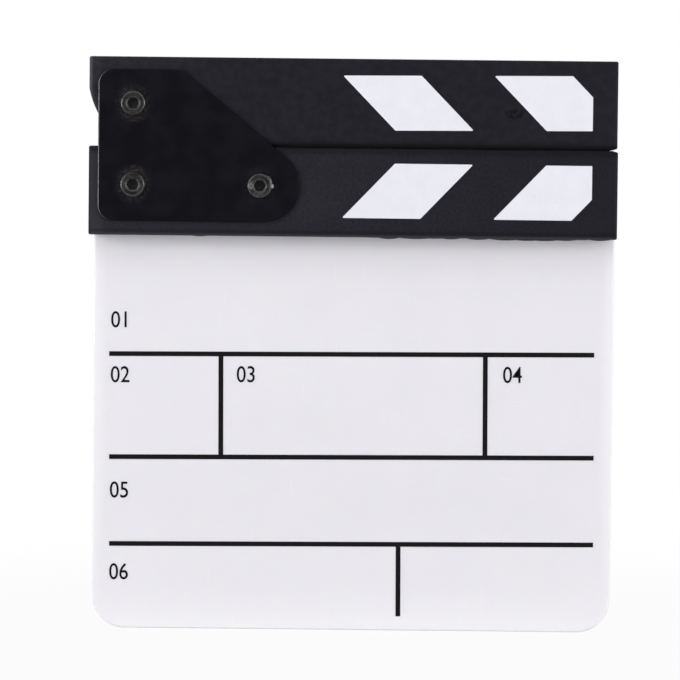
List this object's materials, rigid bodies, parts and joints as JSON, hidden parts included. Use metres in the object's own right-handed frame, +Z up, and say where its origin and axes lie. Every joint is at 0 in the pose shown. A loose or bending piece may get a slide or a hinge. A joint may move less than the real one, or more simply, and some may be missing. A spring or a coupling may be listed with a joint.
{
  "type": "clapperboard",
  "caption": "Small film clapperboard: a white acrylic slate with ruled fields, a fixed stick, and a clapper stick that swings up on a pivot screw through a metal hinge plate.",
  "frame": {"origin": "middle of the slate's bottom edge, half way through the sheet", "axes": "+Z up from the bottom edge to the sticks, -Y out of the written face towards the reader, +X to the reader's right, away from the hinge"},
  "size_m": [0.1502, 0.0228, 0.1638],
  "materials": {
    "slate_acrylic": "white acrylic, dry-wipe gloss face, polished edges",
    "printed_ink": "black screen-printed ink",
    "adhesive": "black cured glue, squeezed out in small lumps under the fixed stick",
    "stick_wood": "black satin paint on sanded wood",
    "white_marking": "white printed film",
    "plate_metal": "smooth black coating",
    "screw_steel": "black oxide, worn bright on the edges",
    "zinc_steel": "bright zinc plating",
    "nylon": "natural nylon"
  },
  "bodies": {
    "slate": {"slate_board": "slate_acrylic", "field_rules": "printed_ink", "adhesive_strip": "adhesive", "lower_stick": "stick_wood", "lower_stripe_inner": "white_marking", "lower_stripe_end": "white_marking", "hinge_plate": "plate_metal", "pivot_screw": "screw_steel", "pivot_washer": "zinc_steel", "pivot_lock_nut": "zinc_steel", "pivot_nut_insert": "nylon", "left_plate_screw": "screw_steel", "left_plate_washer": "zinc_steel", "left_plate_nut": "zinc_steel", "right_plate_screw": "screw_steel", "right_plate_washer": "zinc_steel", "right_plate_nut": "zinc_steel"},
    "clapper": {"upper_stick": "stick_wood", "upper_stripe_inner": "white_marking", "upper_stripe_end": "white_marking"}
  },
  "joints": [
    {"name": "clapper_hinge", "type": "hinge", "parent": "slate", "child": "clapper", "pos_m": [-0.06295, -0.0069, 0.15055], "axis": [0, -1, 0], "range_deg": [0, 81]}
  ]
}
